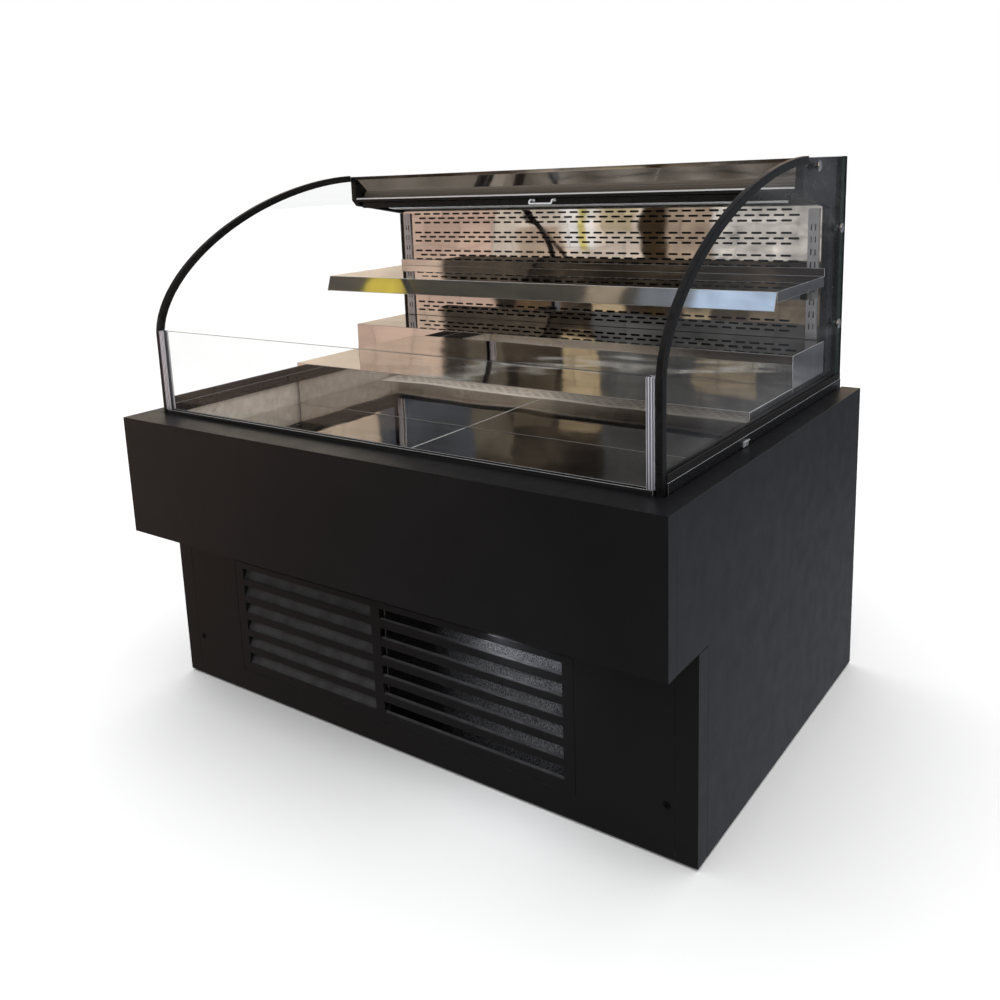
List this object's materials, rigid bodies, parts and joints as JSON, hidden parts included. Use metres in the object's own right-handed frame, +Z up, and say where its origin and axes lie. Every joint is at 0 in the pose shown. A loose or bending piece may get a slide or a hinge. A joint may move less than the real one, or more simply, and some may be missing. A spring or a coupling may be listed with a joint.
{
  "type": "refrigerated deli case",
  "caption": "Low open refrigerated deli case with curved end glass, stepped deck, upper shelf, canopy with night curtain and a louvred base.",
  "frame": {"origin": "on the floor, at the centre of the case's outline", "axes": "+X along the case to the shopper's right, -Y towards the shopper, +Z up"},
  "size_m": [1.22, 0.9, 1.08],
  "materials": {
    "black_panel": "satin powder coat",
    "galvanised": "zinc-coated, dull",
    "foam": "closed-cell foam board",
    "stainless_satin": "brushed along the case",
    "stainless_mirror": "polished to a mirror",
    "black_trim": "satin",
    "anodised": "clear anodised",
    "lamp": "opal diffuser",
    "end_glass": "clear, tempered",
    "front_glass": "clear, tempered",
    "rubber": "matte",
    "bright_chrome": "polished",
    "fin_stock": "thin fins, dusty",
    "compressor_black": "gloss black enamel",
    "copper": "drawn copper",
    "white_plastic": "smooth",
    "red_rocker": "smooth",
    "curtain_cloth": "woven, light grey",
    "foot_steel": "zinc-plated"
  },
  "bodies": {
    "cabinet": {"base_pan": "galvanised", "base_frame": "galvanised", "side_panel_left": "black_panel", "side_panel_right": "black_panel", "front_upper_panel": "black_panel", "front_lower_panel": "black_panel", "corner_posts": "black_panel", "rear_panel": "black_panel", "insulation": "foam", "tub_liner": "stainless_satin", "perforated_back_panel": "stainless_mirror", "rear_posts": "black_trim", "upper_shelf": "stainless_mirror", "shelf_brackets": "stainless_satin", "canopy_shell": "black_panel", "canopy_fascia": "stainless_mirror", "canopy_trim": "anodised", "canopy_end_caps": "black_trim", "led_lamps": "lamp", "curtain_brackets": "stainless_satin", "end_glass_left": "end_glass", "end_glass_right": "end_glass", "glass_edge_trims": "black_trim", "glass_base_channels": "anodised", "glass_gaskets": "rubber", "glass_buttons": "bright_chrome", "front_glass_channels": "anodised", "return_air_grille": "stainless_satin", "evaporator_coil": "fin_stock", "evaporator_fan_plate": "galvanised", "fan_motors": "black_trim", "condenser_coil": "fin_stock", "condenser_shroud": "galvanised", "compressor": "compressor_black", "compressor_mounts": "rubber", "filter_drier": "copper", "refrigerant_lines": "copper", "electrical_box": "galvanised", "controller": "black_trim", "cable_gland": "black_trim", "drain_pipe": "white_plastic", "panel_screws": "black_trim"},
    "grille": {"louvre_grille": "black_panel"},
    "condenser_rotor": {"condenser_fan": "black_trim"},
    "evaporator_rotor_left": {"evaporator_fan_left": "black_trim"},
    "evaporator_rotor_right": {"evaporator_fan_right": "black_trim"},
    "pan_left": {"deck_pan_left": "stainless_satin"},
    "pan_right": {"deck_pan_right": "stainless_satin"},
    "step_low": {"lower_step": "stainless_mirror"},
    "step_high": {"upper_step": "stainless_mirror"},
    "front_pane": {"front_glass": "front_glass"},
    "curtain_pull": {"curtain_bar": "black_trim", "curtain_handle": "white_plastic", "curtain_fabric": "curtain_cloth"},
    "curtain_roll": {"curtain_roller": "curtain_cloth"},
    "rocker": {"power_switch": "red_rocker"},
    "leveller_front_left": {"foot_front_left": "foot_steel"},
    "leveller_front_right": {"foot_front_right": "foot_steel"},
    "leveller_rear_left": {"foot_rear_left": "foot_steel"},
    "leveller_rear_right": {"foot_rear_right": "foot_steel"}
  },
  "joints": [
    {"name": "curtain_slide", "type": "slide", "parent": "cabinet", "child": "curtain_pull", "axis": [0, -0.9365, -0.3507], "range_m": [0, 0.6], "stiffness_N_per_m": 8, "springref_m": -0.6, "deforming": ["curtain_fabric"]},
    {"name": "curtain_roll_turn", "type": "hinge", "parent": "cabinet", "child": "curtain_roll", "pos_m": [0, 0.288, 1.046], "axis": [1, 0, 0], "range_deg": [0, 1800]},
    {"name": "condenser_fan_spin", "type": "hinge", "parent": "cabinet", "child": "condenser_rotor", "pos_m": [0.17, -0.22, 0.178], "axis": [0, 1, 0], "continuous": true},
    {"name": "evaporator_fan_left_spin", "type": "hinge", "parent": "cabinet", "child": "evaporator_rotor_left", "pos_m": [-0.24, 0.062, 0.576], "axis": [0, 1, 0], "continuous": true},
    {"name": "evaporator_fan_right_spin", "type": "hinge", "parent": "cabinet", "child": "evaporator_rotor_right", "pos_m": [0.24, 0.062, 0.576], "axis": [0, 1, 0], "continuous": true},
    {"name": "pan_left_lift", "type": "slide", "parent": "cabinet", "child": "pan_left", "axis": [0, 0, 1], "range_m": [0, 0.2]},
    {"name": "pan_right_lift", "type": "slide", "parent": "cabinet", "child": "pan_right", "axis": [0, 0, 1], "range_m": [0, 0.2]},
    {"name": "step_low_lift", "type": "slide", "parent": "cabinet", "child": "step_low", "axis": [0, 0, 1], "range_m": [0, 0.1]},
    {"name": "step_high_lift", "type": "slide", "parent": "cabinet", "child": "step_high", "axis": [0, 0, 1], "range_m": [0, 0.06]},
    {"name": "front_glass_lift", "type": "slide", "parent": "cabinet", "child": "front_pane", "axis": [0, 0, 1], "range_m": [0, 0.18]},
    {"name": "grille_pull", "type": "slide", "parent": "cabinet", "child": "grille", "axis": [0, -1, 0], "range_m": [0, 0.12]},
    {"name": "switch_rock", "type": "hinge", "parent": "cabinet", "child": "rocker", "pos_m": [0.45, 0.442, 0.195], "axis": [1, 0, 0], "range_deg": [-8, 8]},
    {"name": "foot_front_left_screw", "type": "slide", "parent": "cabinet", "child": "leveller_front_left", "axis": [0, 0, -1], "range_m": [0, 0.02]},
    {"name": "foot_front_right_screw", "type": "slide", "parent": "cabinet", "child": "leveller_front_right", "axis": [0, 0, -1], "range_m": [0, 0.02]},
    {"name": "foot_rear_left_screw", "type": "slide", "parent": "cabinet", "child": "leveller_rear_left", "axis": [0, 0, -1], "range_m": [0, 0.02]},
    {"name": "foot_rear_right_screw", "type": "slide", "parent": "cabinet", "child": "leveller_rear_right", "axis": [0, 0, -1], "range_m": [0, 0.02]}
  ],
  "couplings": [
    {"joint": "curtain_roll_turn", "follows": "curtain_slide", "rad_per_m": 50}
  ]
}
